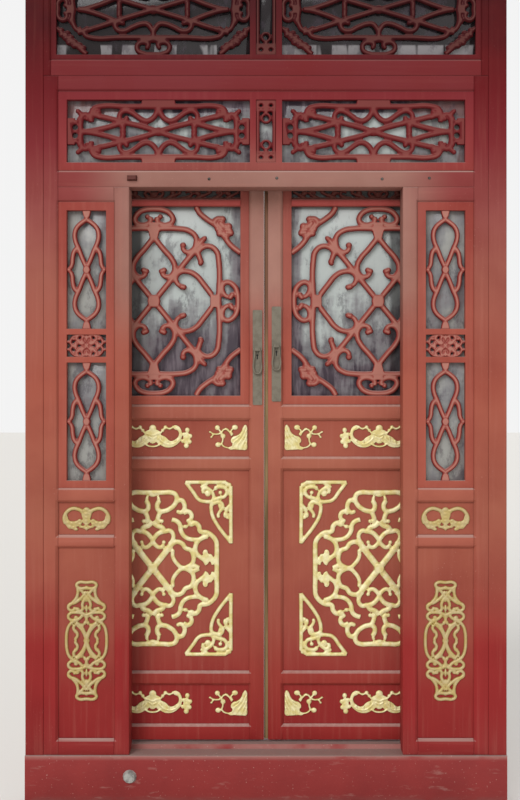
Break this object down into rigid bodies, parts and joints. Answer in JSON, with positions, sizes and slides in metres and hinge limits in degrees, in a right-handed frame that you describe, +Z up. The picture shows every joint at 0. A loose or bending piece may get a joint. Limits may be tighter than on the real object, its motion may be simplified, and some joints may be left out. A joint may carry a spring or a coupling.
{
  "type": "carved temple door",
  "caption": "Two carved leaves on pivots behind a screen frame with a sill, glazed side lights and transoms, pierced lattices and gilded panel carvings.",
  "frame": {"origin": "on the underside of the sill, midway between the posts, below the plane of the screen's front face", "axes": "+X to the right as seen from outside, +Y into the building, +Z up"},
  "size_m": [1.734, 0.24, 3.155],
  "materials": {
    "frame_paint": "worn matt red paint",
    "leaf_paint": "worn matt red paint",
    "sash_paint": "worn matt red paint",
    "lattice_paint": "worn matt red paint",
    "panel_paint": "worn matt red paint",
    "sill_paint": "red paint worn to grey wood on the ledges",
    "back_wood": "matt red paint",
    "bare_wood": "bare olive-brown wood",
    "gilding": "carved wood with aged gilding",
    "glass": "dusty clear glass",
    "lock_metal": "dull grey-brown patina",
    "lock_iron": "dark iron"
  },
  "bodies": {
    "frame": {"sill": "sill_paint", "left_post": "frame_paint", "right_post": "frame_paint", "left_outer_stile": "frame_paint", "right_outer_stile": "frame_paint", "left_jamb": "frame_paint", "right_jamb": "frame_paint", "lintel": "frame_paint", "upper_rail": "frame_paint", "top_rail": "frame_paint", "head_rail": "frame_paint", "top_stiles": "frame_paint", "top_transom_sash": "sash_paint", "top_transom_lattice": "lattice_paint", "top_transom_glass": "glass", "transom_sash": "sash_paint", "transom_lattice": "lattice_paint", "transom_glass": "glass", "left_side_rails": "frame_paint", "left_side_sash": "sash_paint", "left_side_lattice": "lattice_paint", "left_side_glass": "glass", "left_side_panels": "panel_paint", "left_side_gilding": "gilding", "right_side_rails": "frame_paint", "right_side_sash": "sash_paint", "right_side_lattice": "lattice_paint", "right_side_glass": "glass", "right_side_panels": "panel_paint", "right_side_gilding": "gilding", "pivot_board": "back_wood", "pivot_blocks": "sill_paint", "ironwork": "lock_metal"},
    "left_leaf": {"left_leaf_rails": "leaf_paint", "left_hinge_stile": "leaf_paint", "left_meeting_stile": "leaf_paint", "left_leaf_sash": "sash_paint", "left_leaf_lattice": "lattice_paint", "left_leaf_glass": "glass", "left_leaf_panels": "panel_paint", "left_leaf_gilding": "gilding", "left_pivot_post": "back_wood", "left_lock_plate": "lock_metal"},
    "right_leaf": {"right_leaf_rails": "leaf_paint", "right_hinge_stile": "leaf_paint", "right_meeting_stile": "leaf_paint", "right_leaf_sash": "sash_paint", "right_leaf_lattice": "lattice_paint", "right_leaf_glass": "glass", "right_leaf_panels": "panel_paint", "right_leaf_gilding": "gilding", "right_pivot_post": "back_wood", "right_lock_plate": "lock_metal", "lock_case": "lock_iron", "meeting_strip": "bare_wood"},
    "left_pull": {"left_pull": "lock_metal"},
    "right_pull": {"right_pull": "lock_metal"},
    "lock_bolt": {"lock_bolt": "lock_iron"}
  },
  "joints": [
    {"name": "left_leaf_swing", "type": "hinge", "parent": "frame", "child": "left_leaf", "pos_m": [-0.7975, 0.1675, 1], "axis": [0, 0, 1], "range_deg": [0, 90]},
    {"name": "right_leaf_swing", "type": "hinge", "parent": "frame", "child": "right_leaf", "pos_m": [0.7975, 0.1675, 1], "axis": [0, 0, -1], "range_deg": [0, 90]},
    {"name": "left_pull_drop", "type": "hinge", "parent": "left_leaf", "child": "left_pull", "pos_m": [-0.0315, 0.088, 1.686], "axis": [-1, 0, 0], "range_deg": [0, 85]},
    {"name": "right_pull_drop", "type": "hinge", "parent": "right_leaf", "child": "right_pull", "pos_m": [0.0385, 0.088, 1.699], "axis": [-1, 0, 0], "range_deg": [0, 85]},
    {"name": "bolt_throw", "type": "slide", "parent": "right_leaf", "child": "lock_bolt", "axis": [-1, 0, 0], "range_m": [0, 0.014]}
  ]
}
